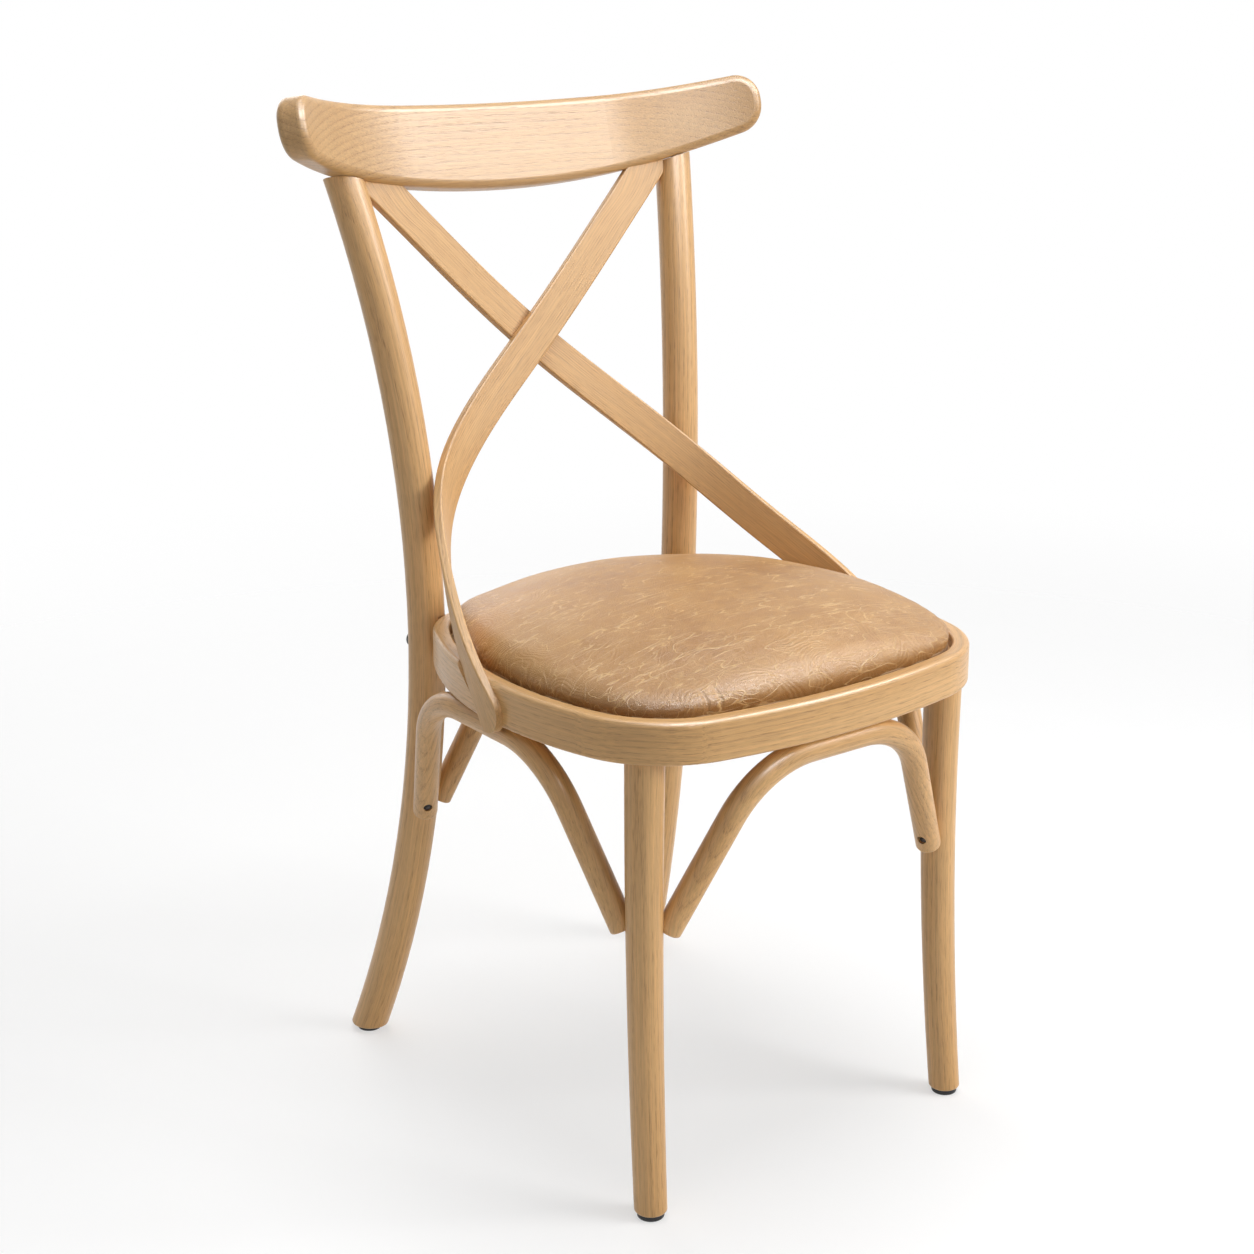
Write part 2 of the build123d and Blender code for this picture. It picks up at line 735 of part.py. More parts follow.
for word, side in SIDES.items():
    with BuildPart() as back_leg:
        add(back_leg_rod(side, 0))
        split(bisect_by=Plane.XY.offset(glide_height), keep=Keep.TOP)
        split(bisect_by=crest_seat(side), keep=Keep.BOTTOM)
        fillet(level_edges(back_leg, glide_height), foot_round)
        add(
            seat_block(-joint_gap, ring_underside - joint_gap, ring_top + joint_gap),
            mode=Mode.SUBTRACT,
        )
        with BuildSketch(bolt_plane(side, 0)):
            Circle(bolt_diameter / 2 + fit)
        extrude(amount=bolt_head_seat, mode=Mode.SUBTRACT)
        with BuildSketch(bolt_plane(side, bolt_head_seat)):
            Circle(bolt_head_diameter / 2 + fit)
        extrude(amount=back_leg_radius, mode=Mode.SUBTRACT)
        add(crest_dowel(side, fit), mode=Mode.SUBTRACT)
        add(arch_end_pockets, mode=Mode.SUBTRACT)
        add(glide_nail(feet[f"rear_{word}"], fit), mode=Mode.SUBTRACT)
    back_leg.part.label = f"back_leg_{word}"
    export_step(back_leg.part, f"parts/back_leg_{word}.step")

leg_rooms = [front_leg_rod(side, joint_gap) for side in SIDES.values()]
leg_rooms += [back_leg_rod(side, joint_gap) for side in SIDES.values()]

for name, axis in arch_axes.items():
    with BuildPart() as arch:
        with BuildSketch(Plane(axis @ 0, z_dir=axis % 0)):
            Circle(arch_radius)
        sweep(path=axis)
        fillet(arch.faces().filter_by(GeomType.PLANE).edges(), arch_end_round)
        add(leg_rooms, mode=Mode.SUBTRACT)
        add(arch_end_pockets, mode=Mode.SUBTRACT)
        add(arch_top_pockets, mode=Mode.SUBTRACT)
    arch.part.label = name
    export_step(arch.part, f"parts/{name}.step")

with BuildPart() as back_leg_bolts:
    for side in SIDES.values():
        with BuildSketch(bolt_plane(side, bolt_head_seat)):
            Circle(bolt_diameter / 2)
        extrude(amount=-bolt_length)
        with BuildSketch(bolt_plane(side, bolt_head_seat)):
            Circle(bolt_head_diameter / 2)
        extrude(amount=bolt_head_height)
        head_top = back_leg_bolts.faces().sort_by_distance(bolt_plane(side, leg_stand_off * 2).origin)[0]
        fillet(head_top.edges(), bolt_head_height - joint_gap)
back_leg_bolts.part.label = "back_leg_bolts"
export_step(back_leg_bolts.part, "parts/back_leg_bolts.step")

with BuildPart() as back_leg_washers:
    for side in SIDES.values():
        with BuildSketch(bolt_plane(side, washer_seat)):
            Circle(washer_diameter / 2)
            Circle(bolt_diameter / 2 + fit, mode=Mode.SUBTRACT)
        extrude(amount=-washer_thickness)
back_leg_washers.part.label = "back_leg_washers"
export_step(back_leg_washers.part, "parts/back_leg_washers.step")

with BuildPart() as back_leg_nuts:
    for side in SIDES.values():
        with BuildSketch(bolt_plane(side, washer_seat - washer_thickness)):
            RegularPolygon(nut_across_flats / 2, 6, major_radius=False)
            Circle(bolt_diameter / 2 + fit, mode=Mode.SUBTRACT)
        extrude(amount=-nut_height)
back_leg_nuts.part.label = "back_leg_nuts"
export_step(back_leg_nuts.part, "parts/back_leg_nuts.step")

screw_groups = {
    "arch_end_screws": (arch_screw_length, arch_end_places),
    "arch_top_screws": (arch_top_screw_length, arch_top_places),
    "strap_foot_screws": (strap_screw_length, strap_places),
    "cross_strap_screw": (cross_screw_length, cross_places),
    "seat_screws": (seat_screw_length, seat_places),
}
for name, (length, places) in screw_groups.items():
    with BuildPart() as screws:
        add(screw_group(length, places))
    screws.part.label = name
    export_step(screws.part, f"parts/{name}.step")

for name, foot in feet.items():
    with BuildPart() as glide:
        with BuildSketch(Plane((foot.X, foot.Y, 0))):
            Circle(glide_diameter / 2)
        extrude(amount=glide_height)
        fillet(level_edges(glide, 0), glide_round)
        with BuildSketch(Plane((foot.X, foot.Y, 0))):
            Circle(nail_head_diameter / 2 + fit)
        extrude(amount=nail_recess, mode=Mode.SUBTRACT)
        add(glide_nail(foot, fit), mode=Mode.SUBTRACT)
    glide.part.label = f"foot_glide_{name}"
    export_step(glide.part, f"parts/foot_glide_{name}.step")

with BuildPart() as glide_nails:
    for foot in feet.values():
        add(glide_nail(foot, 0))
glide_nails.part.label = "glide_nails"
export_step(glide_nails.part, "parts/glide_nails.step")


crown_radius = (crown_reach**2 + crown_rise**2) / (2 * crown_rise)
crown_centre = Vector(0, (seat_rear - seat_front) / 2, ring_top + crown_top - crown_radius)
pad_arcs = seat_outline(pad_inset).edges()
pad_reach = max((arc @ 0.5 - Vector(0, crown_centre.Y, 0)).length for arc in pad_arcs)
pad_corner_top = crown_centre.Z + sqrt(crown_radius**2 - pad_reach**2)
pad_round = min(pad_edge_round, (pad_corner_top - board_floor) * pad_edge_share)


def pad_body(skin, floor):
    """The crowned pad above a level, drawn in all over by a skin's thickness."""
    with BuildPart() as pad:
        add(seat_block(pad_inset + skin, floor, ring_top + crown_top))
        with Locations(crown_centre - Vector(0, 0, skin)):
            Sphere(crown_radius, mode=Mode.INTERSECT)
        crown = pad.faces().sort_by(Axis.Z)[-1]
        fillet(crown.edges(), pad_round - skin)
    return pad.part


pad_core = pad_body(cover_thickness + fit, board_floor)
staple_wire_line = seat_outline(ring_wall + cover_wrap / 2).wire()
staple_floor = rebate_floor - dust_cover_thickness
staple_planes = []
for index in range(staple_count):
    share = (index + 0.5) / staple_count
    spot = (staple_wire_line @ share) + Vector(0, 0, staple_floor)
    staple_planes.append(Plane(spot, x_dir=staple_wire_line % share, z_dir=(0, 0, 1)))


def staples(grow):
    """The staples under the pad, or room for them."""
    wire = staple_wire + 2 * grow
    with BuildPart() as group:
        for plane in staple_planes:
            with BuildSketch(plane):
                Rectangle(staple_width + 2 * grow, wire)
            extrude(amount=-staple_wire - grow)
            with BuildSketch(plane):
                with GridLocations(staple_width - staple_wire, 0, 2, 1):
                    Rectangle(wire, wire)
            extrude(amount=staple_leg + grow)
    return group.part


staple_room = staples(fit)

with BuildPart() as seat_board:
    add(pad_core)
    split(bisect_by=Plane.XY.offset(board_top), keep=Keep.BOTTOM)
    add(staple_room, mode=Mode.SUBTRACT)
    add(seat_pockets, mode=Mode.SUBTRACT)
seat_board.part.label = "seat_board"
export_step(seat_board.part, "parts/seat_board.step")

with BuildPart() as seat_foam:
    add(pad_core)
    split(bisect_by=Plane.XY.offset(board_top), keep=Keep.TOP)
seat_foam.part.label = "seat_foam"
export_step(seat_foam.part, "parts/seat_foam.step")

with BuildPart() as seat_cover:
    add(pad_body(0, rebate_floor))
    add(pad_body(cover_thickness, board_floor), mode=Mode.SUBTRACT)
    add(seat_block(ring_wall + cover_wrap, rebate_floor, board_floor), mode=Mode.SUBTRACT)
    add(staple_room, mode=Mode.SUBTRACT)
    add(seat_pockets, mode=Mode.SUBTRACT)
seat_cover.part.label = "seat_cover"
export_step(seat_cover.part, "parts/seat_cover.step")

with BuildPart() as dust_cover:
    add(seat_block(ring_wall + dust_cover_gap, staple_floor, rebate_floor))
    add(staple_room, mode=Mode.SUBTRACT)
dust_cover.part.label = "dust_cover"
export_step(dust_cover.part, "parts/dust_cover.step")

with BuildPart() as cover_staples:
    add(staples(0))
cover_staples.part.label = "cover_staples"
export_step(cover_staples.part, "parts/cover_staples.step")
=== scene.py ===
# %% [markdown]
# A bentwood cross-back chair: an oak frame with a tan leather seat pad.
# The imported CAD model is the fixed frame. This lesson gives its wood, plastic and steel their
# finish, and makes the soft pieces, which a plain solid can't show.

# %% Load the frame
from math import cos, pi, radians, sin

import bmesh
import bpy
from mathutils import Matrix, Vector


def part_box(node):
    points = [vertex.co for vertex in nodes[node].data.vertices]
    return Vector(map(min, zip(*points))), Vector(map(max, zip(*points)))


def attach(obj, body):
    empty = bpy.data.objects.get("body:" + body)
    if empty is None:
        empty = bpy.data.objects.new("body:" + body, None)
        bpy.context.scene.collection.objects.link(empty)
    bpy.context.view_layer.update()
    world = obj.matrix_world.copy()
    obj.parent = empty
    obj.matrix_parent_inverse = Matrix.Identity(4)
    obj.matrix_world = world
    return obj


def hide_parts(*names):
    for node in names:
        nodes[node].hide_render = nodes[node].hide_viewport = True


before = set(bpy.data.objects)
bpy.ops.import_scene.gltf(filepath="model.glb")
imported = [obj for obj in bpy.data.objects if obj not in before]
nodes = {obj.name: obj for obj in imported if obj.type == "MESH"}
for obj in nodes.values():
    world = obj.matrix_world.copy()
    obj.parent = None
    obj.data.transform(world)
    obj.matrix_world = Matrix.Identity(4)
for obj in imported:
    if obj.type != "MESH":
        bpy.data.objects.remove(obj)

scene = bpy.context.scene
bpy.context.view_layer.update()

# %% [markdown]
# The camera stands where the photographer stood: in front of the chair, on the viewer's left, a
# little above the crest rail. Its place could be tried out by eye, but lining up the feet, the
# ring and the crest rail with the picture gives it in numbers. A long lens keeps the legs from
# leaning.

# %% Camera
picture_side = 1254
focal_pixels = 2273.56
sensor = 36.0
eye = Vector((-1.23505, -1.50990, 1.02263))
towards_eye = Vector((-0.59516, -0.74957, 0.28970)).normalized()
roll = radians(0.076)


def add_object(name, data):
    thing = bpy.data.objects.new(name, data)
    scene.collection.objects.link(thing)
    return thing


camera = add_object("camera", bpy.data.cameras.new("camera"))
camera.data.sensor_width = sensor
camera.data.lens = sensor * focal_pixels / picture_side
turn = towards_eye.to_track_quat("Z", "Y").to_matrix() @ Matrix.Rotation(roll, 3, "Z")
camera.matrix_world = Matrix.Translation(eye) @ turn.to_4x4()
scene.camera = camera
print("lens:", round(camera.data.lens, 2), "mm")

# %% [markdown]
# A material is a tree of nodes. It could be drawn by hand in the shader editor, but a script keeps
# it where it can be read and changed. `feed` either links a socket or sets its value, so a formula
# reads from left to right, and `sums` adds one Math node for each step of it.


# %% Node helpers
def feed(tree, socket, value):
    if isinstance(value, bpy.types.NodeSocket):
        tree.links.new(value, socket)
    else:
        socket.default_value = value


def place(tree, kind, inputs=(), **settings):
    node = tree.nodes.new(kind)
    for name, value in settings.items():
        setattr(node, name, value)
    for name, value in dict(inputs).items():
        feed(tree, node.inputs[name], value)
    return node


def sums(tree, operation, first, second=0.0, third=0.0):
    node = place(tree, "ShaderNodeMath", operation=operation)
    for socket, value in zip(node.inputs, (first, second, third)):
        feed(tree, socket, value)
    return node.outputs[0]


def vector_sums(tree, operation, first, second=(0, 0, 0)):
    node = place(tree, "ShaderNodeVectorMath", operation=operation)
    feed(tree, node.inputs[0], first)
    feed(tree, node.inputs[1], second)
    return next(output for output in node.outputs if output.enabled)


def axes(tree, vector):
    return place(tree, "ShaderNodeSeparateXYZ", {"Vector": vector}).outputs


def as_vector(tree, x, y, z):
    return place(tree, "ShaderNodeCombineXYZ", {"X": x, "Y": y, "Z": z}).outputs["Vector"]


def object_place(tree):
    return place(tree, "ShaderNodeTexCoord").outputs["Object"]


# %% [markdown]
# Patterns start from noise. `grains` stretches it along a direction, `spread` picks out a band of
# its values, `tint` lays one colour over another and `bump` presses the pattern into the surface.
# Most of a noise lies between 0.3 and 0.7, so that band is used where the whole of it counts.

# %% Pattern helpers
noise_band = (0.3, 0.7)


def spread(tree, value, low, high, to_low=0.0, to_high=1.0, smooth=False):
    kind = "SMOOTHSTEP" if smooth else "LINEAR"
    row = {"Value": value, "From Min": low, "From Max": high, "To Min": to_low, "To Max": to_high}
    return place(tree, "ShaderNodeMapRange", row, interpolation_type=kind).outputs["Result"]


def noise(tree, vector, detail, roughness=0.5):
    row = {"Vector": vector, "Scale": 1.0, "Detail": detail, "Roughness": roughness}
    return place(tree, "ShaderNodeTexNoise", row).outputs["Fac"]


def grains(tree, vector, scale, detail=2.0):
    return noise(tree, vector_sums(tree, "MULTIPLY", vector, scale), detail)


def tint(tree, share, first, second):
    node = place(tree, "ShaderNodeMix", data_type="RGBA")
    feed(tree, node.inputs[0], share)
    feed(tree, node.inputs[6], first)
    feed(tree, node.inputs[7], second)
    return node.outputs[2]


def dimmed(tree, colour, share):
    scaled = vector_sums(tree, "SCALE", colour)
    feed(tree, scaled.node.inputs["Scale"], share)
    return scaled


def ramp(tree, value, stops):
    node = place(tree, "ShaderNodeValToRGB", {"Fac": value})
    marks = node.color_ramp.elements
    while len(marks) < len(stops):
        marks.new(1.0)
    for mark, (position, level) in zip(marks, stops):
        mark.position = position
        mark.color = (level, level, level, 1.0)
    return node.outputs["Color"]


def bump(tree, height, strength, distance, under=None):
    row = {"Height": height, "Strength": strength, "Distance": distance}
    if under is not None:
        row["Normal"] = under
    return place(tree, "ShaderNodeBump", row).outputs["Normal"]


# %% [markdown]
# A node group is a tree that several materials share: it takes named inputs and gives named
# outputs. A material holds the shader itself, so `new_material` hands back the sockets of its
# Principled BSDF, ready to be fed.


# %% Groups and materials
def new_group(name, inputs, outputs):
    group = bpy.data.node_groups.new(name, "ShaderNodeTree")
    for in_out, sockets in (("INPUT", inputs), ("OUTPUT", outputs)):
        for label, kind in sockets:
            group.interface.new_socket(label, in_out=in_out, socket_type="NodeSocket" + kind)
    start = group.nodes.new("NodeGroupInput")
    end = group.nodes.new("NodeGroupOutput")
    return group, start.outputs, end.inputs


def use_group(tree, group, inputs):
    node = tree.nodes.new("ShaderNodeGroup")
    node.node_tree = group
    for name, value in inputs.items():
        feed(tree, node.inputs[name], value)
    return node.outputs


def new_material(name):
    material = bpy.data.materials.new(name)
    material.use_nodes = True
    tree = material.node_tree
    return material, tree, tree.nodes["Principled BSDF"].inputs


# %% [markdown]
# The chair stands in a white studio. More lamps would turn the room white, but they would bleach
# the wood as well. So the camera and the gloss see a white room, while the light that falls on the
# chair stays at a plain level, and colours render about as they are written.

# %% Room
room_light = 0.24
room_white = 1.0
white = (1, 1, 1, 1)


def seen_directly(tree):
    rays = place(tree, "ShaderNodeLightPath").outputs
    seen = sums(tree, "MAXIMUM", rays["Is Camera Ray"], rays["Is Glossy Ray"])
    return sums(tree, "MAXIMUM", seen, rays["Is Transmission Ray"])


def mix_shaders(tree, share, first, second):
    node = place(tree, "ShaderNodeMixShader", {"Fac": share})
    tree.links.new(first.outputs[0], node.inputs[1])
    tree.links.new(second.outputs[0], node.inputs[2])
    return node


scene.world = bpy.data.worlds.new("room")
scene.world.use_nodes = True
room = scene.world.node_tree
lit = place(room, "ShaderNodeBackground", {"Color": white, "Strength": room_light})
seen = place(room, "ShaderNodeBackground", {"Color": white, "Strength": room_white})
both = mix_shaders(room, seen_directly(room), lit, seen)
room.links.new(both.outputs[0], room.nodes["World Output"].inputs["Surface"])
print("room: lights at", room_light, "and shows at", room_white)

# %% [markdown]
# The floor is a pale disc that fades into the white room, as the paper of a studio sweep does. A
# plain white floor would swallow the chair's soft shadow, so the camera sees a grey that takes the
# shadow, with an even glow added that lifts it to near white.

# %% Floor
floor_radius = 3.0
floor_sides = 96
floor_fade = (0.9, 2.4)
floor_pale = (0.8, 0.8, 0.8, 1)
floor_grey = (0.48, 0.48, 0.48, 1)
floor_glow = 0.53

floor_mesh = bpy.data.meshes.new("floor")
shape = bmesh.new()
bmesh.ops.create_circle(shape, cap_ends=True, segments=floor_sides, radius=floor_radius)
shape.to_mesh(floor_mesh)
shape.free()
floor = add_object("floor", floor_mesh)

material, tree, _ = new_material("floor_paper")
tree.nodes.remove(tree.nodes["Principled BSDF"])
bounce = place(tree, "ShaderNodeBsdfDiffuse", {"Color": floor_pale})
shadowed = place(tree, "ShaderNodeBsdfDiffuse", {"Color": floor_grey})
glow = place(tree, "ShaderNodeEmission", {"Strength": floor_glow})
shown = place(tree, "ShaderNodeAddShader")
tree.links.new(shadowed.outputs[0], shown.inputs[0])
tree.links.new(glow.outputs[0], shown.inputs[1])
paper = mix_shaders(tree, seen_directly(tree), bounce, shown)
clear = place(tree, "ShaderNodeBsdfTransparent")
distance = vector_sums(tree, "LENGTH", object_place(tree))
faded = mix_shaders(tree, spread(tree, distance, *floor_fade, smooth=True), paper, clear)
tree.links.new(faded.outputs[0], tree.nodes["Material Output"].inputs["Surface"])
floor_mesh.materials.append(material)
print("floor:", floor_radius, "m in radius")

# %% [markdown]
# The light is soft and comes mainly from the front right: that is where the broad highlight in
# the middle of the crest rail points back to. A large overhead panel lights the seat, and two
# weaker panels keep the left side and the back from going black. The key's own mirror image would
# burn out the crest rail, so the key doesn't show in the gloss. The cards show only there, as white
# boards do in a studio: a small one stands in for the key on the crest rail, and two draw the sheen
# along the seat's front shoulder.

# %% Lamps
aim = Vector((0, 0, 0.5))
# name: (place, side in metres, watts)
lamps = {
    "key": ((1.6, -2.0, 1.3), 1.3, 51.0),
    "overhead": ((0.15, 0.0, 2.7), 1.5, 36.0),
    "left_fill": ((-2.4, -0.6, 1.0), 1.6, 3.0),
    "back_fill": ((0.5, 2.5, 1.5), 1.6, 16.0),
}
gloss_cards = {
    "crest_card": ((1.66, -1.90, 1.74), 0.55, 17.0),
    "corner_card": ((-0.10, -1.05, 2.20), 1.2, 105.0),
    "front_card": ((1.2, -0.75, 1.97), 0.9, 54.0),
}
for name, (spot, side, watts) in (lamps | gloss_cards).items():
    lamp = add_object(name, bpy.data.lights.new(name, "AREA"))
    lamp.data.size = side
    lamp.data.energy = watts
    turn = (Vector(spot) - aim).to_track_quat("Z", "Y").to_matrix()
    lamp.matrix_world = Matrix.Translation(spot) @ turn.to_4x4()
    lamp.visible_diffuse = name in lamps
    lamp.visible_glossy = name != "key"
scene.view_settings.view_transform = "Standard"
print("lamps:", ", ".join(lamps | gloss_cards))

# %% [markdown]
# Oak shows growth rings, with a line of open pores where each year's growth begins. A picture of
# wood would smear on bent pieces, so the rings are worked out: they are cylinders round the log's
# heart, and one formula gives straight lines on a leg and pointed arches on a wide rail. It works
# in straightened coordinates: X and Y across the stick, Z along it, so that the same oak can
# follow a bent piece. A scale is a count of noise grains for each metre along X, Y and Z.

# %% Oak rings and pores
oak, given, result = new_group(
    "oak_figure",
    [("Straight", "Vector"), ("Heart", "Vector"), ("Ring spacing", "Float"), ("Slope", "Float")],
    [("Color", "Color"), ("Roughness", "Float"), ("Height", "Float")],
)
wander_scale = (14, 14, 2.5)
wander_by = 0.003
patch_scale = (30, 30, 3.5)
patch_range = (0.35, 1.0)
pore_scale = (1500, 1500, 75)
pore_band = (0.5, 0.64)
full_early = 0.7
pores_between = 0.25
early_wood = ((0.0, 0.2), (0.08, 1.0), (0.3, 0.3), (0.8, 0.0), (1.0, 0.2))

straight = given["Straight"]
wander = spread(oak, grains(oak, straight, wander_scale), 0.0, 1.0, -wander_by, wander_by)
from_heart = vector_sums(oak, "ADD", straight, given["Heart"])
across = vector_sums(oak, "MULTIPLY", from_heart, (1, 1, 0))
age = sums(oak, "ADD", vector_sums(oak, "LENGTH", across), wander)
age = sums(oak, "MULTIPLY_ADD", axes(oak, straight)["Z"], given["Slope"], age)
year = sums(oak, "FRACT", sums(oak, "DIVIDE", age, given["Ring spacing"]))
patchy = spread(oak, grains(oak, straight, patch_scale), *noise_band, *patch_range)
early = sums(oak, "MULTIPLY", ramp(oak, year, early_wood), patchy)
dashes = spread(oak, grains(oak, straight, pore_scale, detail=1.0), *pore_band)
crowded = spread(oak, early, 0.0, full_early, pores_between, 1.0)
pores = sums(oak, "MULTIPLY", dashes, crowded)
print("ring and pore nodes:", len(oak.nodes))

# %% [markdown]
# The colour goes from pale to warm in slow patches, gets darker in the early wood and darkest in
# the pores, and fine fibres streak it. The fibres also break up the gloss, and pores are matt.

# %% Oak colour
fibre_scale = (640, 640, 8)
tone_scale = (22, 22, 2.4)
tone_band = (0.35, 0.7)
pale_oak = (0.715, 0.430, 0.180, 1)
ring_oak = (0.525, 0.280, 0.095, 1)
pore_oak = (0.260, 0.120, 0.036, 1)
warm_oak = (0.635, 0.355, 0.128, 1)
ring_share = 0.62
pore_share = 0.55
streaks = (0.86, 1.07)
oak_roughness = (0.34, 0.44)
pore_roughness = 0.2
fibre_relief = 0.35

fibres = grains(oak, straight, fibre_scale, detail=3.0)
tone = spread(oak, grains(oak, straight, tone_scale), *tone_band)
colour = tint(oak, tone, pale_oak, warm_oak)
colour = tint(oak, sums(oak, "MULTIPLY", early, ring_share), colour, ring_oak)
colour = tint(oak, sums(oak, "MULTIPLY", pores, pore_share), colour, pore_oak)
feed(oak, result["Color"], dimmed(oak, colour, spread(oak, fibres, *noise_band, *streaks)))
gloss = spread(oak, fibres, *noise_band, *oak_roughness)
feed(oak, result["Roughness"], sums(oak, "MULTIPLY_ADD", pores, pore_roughness, gloss))
ridges = sums(oak, "MULTIPLY", fibres, fibre_relief)
feed(oak, result["Height"], sums(oak, "MULTIPLY_ADD", pores, -1.0, ridges))
print("oak nodes:", len(oak.nodes))

# %% [markdown]
# A bent stick keeps its grain along its length, so its material needs to know where its centre
# line runs. The line could be typed in, but then it would no longer fit after a change of the CAD.
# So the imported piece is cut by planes, on a copy, and the middle of each cut is a point of the
# line. Legs and straps are cut at heights, hoops by planes turned round their middle.


# %% Measure the bent pieces
def cut_points(name, point, normal):
    shape = bmesh.new()
    shape.from_mesh(nodes[name].data)
    every = shape.verts[:] + shape.edges[:] + shape.faces[:]
    cut = bmesh.ops.bisect_plane(shape, geom=every, plane_co=point, plane_no=normal)["geom_cut"]
    points = [v.co.copy() for v in cut if isinstance(v, bmesh.types.BMVert)]
    shape.free()
    return points


def middle(values):
    return (min(values) + max(values)) / 2


def centre_by_height(name, steps=13, margin=0.004):
    low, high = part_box(name)
    rows = []
    for step in range(steps):
        share = step / (steps - 1)
        height = low.z + margin + (high.z - low.z - 2 * margin) * share
        points = cut_points(name, (0, 0, height), (0, 0, 1))
        rows.append((height, middle([p.x for p in points]), middle([p.y for p in points])))
    return rows


def hoop_radii(name, hub, sideways, upward, turns):
    rows = []
    for turn in turns:
        arm = sideways * sin(turn) + upward * cos(turn)
        normal = sideways * cos(turn) - upward * sin(turn)
        reach = [(p - hub).dot(arm) for p in cut_points(name, hub, normal)]
        reach = [r for r in reach if r > 0]
        if reach:
            rows.append((turn, middle(reach)))
    return rows


# %% [markdown]
# Each follower turns a place on a bent piece into straightened coordinates for the oak. A Float
# Curve node repeats the measured line inside the material, from the first to the second of each
# row. A dead straight line still gets a hair of range, because its heights are divided by that.

# %% Followers
least_range = 1e-4


def curve_of(tree, value, rows):
    low, high = rows[0][0], rows[-1][0]
    least = min(row[1] for row in rows)
    most = max(max(row[1] for row in rows), least + least_range)
    node = place(tree, "ShaderNodeFloatCurve", {"Value": spread(tree, value, low, high)})
    line = node.mapping.curves[0]
    spots = [((x - low) / (high - low), (y - least) / (most - least)) for x, y in rows]
    for spot in spots[1:-1]:
        line.points.new(*spot)
    line.points[0].location = spots[0]
    line.points[-1].location = spots[-1]
    node.mapping.update()
    return spread(tree, node.outputs["Value"], 0.0, 1.0, least, most)


def follow_height(tree, rows):
    here = axes(tree, object_place(tree))
    line_x = curve_of(tree, here["Z"], [(z, x) for z, x, y in rows])
    line_y = curve_of(tree, here["Z"], [(z, y) for z, x, y in rows])
    off_x = sums(tree, "SUBTRACT", here["X"], line_x)
    off_y = sums(tree, "SUBTRACT", here["Y"], line_y)
    return as_vector(tree, off_x, off_y, here["Z"])


def follow_hoop(tree, hub, sideways, upward, rows):
    from_hub = vector_sums(tree, "SUBTRACT", object_place(tree), tuple(hub))
    aside = vector_sums(tree, "DOT_PRODUCT", from_hub, tuple(sideways))
    above = vector_sums(tree, "DOT_PRODUCT", from_hub, tuple(upward))
    depth = vector_sums(tree, "DOT_PRODUCT", from_hub, tuple(sideways.cross(upward)))
    turned = sums(tree, "ARCTAN2", aside, above)
    squares = sums(tree, "MULTIPLY_ADD", aside, aside, sums(tree, "MULTIPLY", above, above))
    off = sums(tree, "SUBTRACT", sums(tree, "SQRT", squares), curve_of(tree, turned, rows))
    mean = sum(radius for _, radius in rows) / len(rows)
    return as_vector(tree, off, depth, sums(tree, "MULTIPLY", turned, mean))


def lengthwise_x(tree):
    here = axes(tree, object_place(tree))
    return as_vector(tree, here["Z"], here["Y"], here["X"])


# %% [markdown]
# The lacquer is satin: the wood itself is fairly matt, and a thin clear coat gives the long soft
# highlights on the uprights. The pores stay open, so they are pressed into the bump. Each stick
# was cut from its own place in a log, so each has its own way to the heart. The crest rail has
# wide rings and is a shade darker, which is painted shade: the key light falls squarely on its
# front. The straps have close rings and a thinner, duller coat, and their slightly darker tone is
# painted shade as well, for the key light they face.

# %% Wood finishes
oak_specular = 0.35
coat_roughness = 0.28
grain_strength = 0.3
grain_depth = 0.0004


def oak_material(
    name, straight, heart, spacing=0.0042, slope=0.012, lacquer=0.35, tone=1.0, matt=0.0
):
    material, tree, finish = new_material(name)
    row = {"Straight": straight(tree), "Heart": heart, "Ring spacing": spacing, "Slope": slope}
    wood = use_group(tree, oak, row)
    feed(tree, finish["Base Color"], dimmed(tree, wood["Color"], tone))
    feed(tree, finish["Roughness"], sums(tree, "ADD", wood["Roughness"], matt))
    finish["Specular IOR Level"].default_value = oak_specular
    finish["Coat Weight"].default_value = lacquer
    finish["Coat Roughness"].default_value = coat_roughness
    feed(tree, finish["Normal"], bump(tree, wood["Height"], grain_strength, grain_depth))
    return material


def dress(name, material):
    piece = nodes[name]
    if not piece.material_slots:
        piece.data.materials.append(material)
    for slot in piece.material_slots:
        slot.material = material


crest_heart = (-0.60, -0.28, 0.0)
# a tone below 1 is painted shade: the crest rail and the straps face the key light squarely
crest_make = {"spacing": 0.0056, "slope": 0.004, "tone": 0.8}
strap_make = {"spacing": 0.0030, "lacquer": 0.1, "tone": 0.94, "matt": 0.1}
upright_hearts = {
    "front_leg_left": (0.05, 0.03, 0.0),
    "front_leg_right": (-0.04, 0.05, 0.4),
    "back_leg_left": (0.06, 0.04, 0.7),
    "back_leg_right": (-0.05, 0.045, 0.2),
    "cross_strap_front": (0.12, 0.05, 0.1),
    "cross_strap_rear": (-0.11, 0.06, 0.9),
}
dress("crest_rail", oak_material("crest_oak", lengthwise_x, crest_heart, **crest_make))
for name, heart in upright_hearts.items():
    rows = centre_by_height(name)
    make = strap_make if "strap" in name else {}
    dress(name, oak_material(name + "_oak", lambda tree: follow_height(tree, rows), heart, **make))
    print(name, "runs from", [round(c, 3) for c in rows[0]], "to", [round(c, 3) for c in rows[-1]])

# %% [markdown]
# The seat ring and the arches are hoops. Their hubs lie in the middle of what they go round. The
# ring is measured to just short of half a turn each way, where the angle jumps, and an arch only
# where it stands, so that its open end below stays out of the line.

